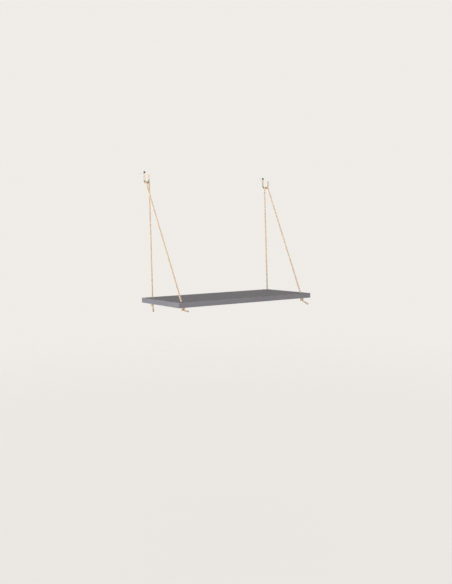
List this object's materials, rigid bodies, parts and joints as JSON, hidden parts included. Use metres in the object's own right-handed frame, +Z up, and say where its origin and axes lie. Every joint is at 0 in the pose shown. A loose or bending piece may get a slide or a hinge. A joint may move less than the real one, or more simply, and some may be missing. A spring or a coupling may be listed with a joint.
{
  "type": "hanging rope shelf",
  "caption": "Wall shelf: a flat painted board hung by ropes from small J hooks, each rope knotted under the board.",
  "frame": {"origin": "on the wall plane, midway between the axes of the two hook screws", "axes": "+X right along the shelf seen from the room, +Y into the wall, +Z up"},
  "size_m": [0.6, 0.3101, 0.5215],
  "materials": {
    "painted_board": "satin grey paint",
    "rope": "twisted natural fibre",
    "hook": "satin",
    "screw": "dark",
    "plug": "matte"
  },
  "bodies": {
    "wall_fixings": {"left_hook": "hook", "right_hook": "hook", "left_hook_screw": "screw", "right_hook_screw": "screw", "left_wall_plug": "plug", "right_wall_plug": "plug"},
    "rope_bights": {"left_rope_bight": "rope", "right_rope_bight": "rope"},
    "left_rope": {"left_front_strand": "rope", "left_rear_strand": "rope"},
    "right_rope": {"right_front_strand": "rope", "right_rear_strand": "rope"},
    "shelf": {"shelf_board": "painted_board", "left_front_rope_end": "rope", "left_rear_rope_end": "rope", "right_front_rope_end": "rope", "right_rear_rope_end": "rope"}
  },
  "joints": [
    {"name": "swing_out", "type": "hinge", "parent": "wall_fixings", "child": "rope_bights", "pos_m": [0, -0.02281, -0.0379], "axis": [-1, 0, 0], "range_deg": [0, 20]},
    {"name": "sway", "type": "hinge", "parent": "rope_bights", "child": "left_rope", "pos_m": [-0.2785, -0.02281, -0.0422], "axis": [0, 1, 0], "range_deg": [-5, 5]},
    {"name": "right_rope_sway", "type": "hinge", "parent": "rope_bights", "child": "right_rope", "pos_m": [0.2785, -0.02281, -0.0422], "axis": [0, 1, 0], "range_deg": [-5, 5]},
    {"name": "shelf_level", "type": "hinge", "parent": "left_rope", "child": "shelf", "pos_m": [-0.273, -0.138, -0.4665], "axis": [0, 1, 0], "range_deg": [-5.2, 5.2]}
  ],
  "couplings": [
    {"joint": "right_rope_sway", "follows": "sway", "ratio": 1},
    {"joint": "shelf_level", "follows": "sway", "ratio": -1.0201}
  ]
}
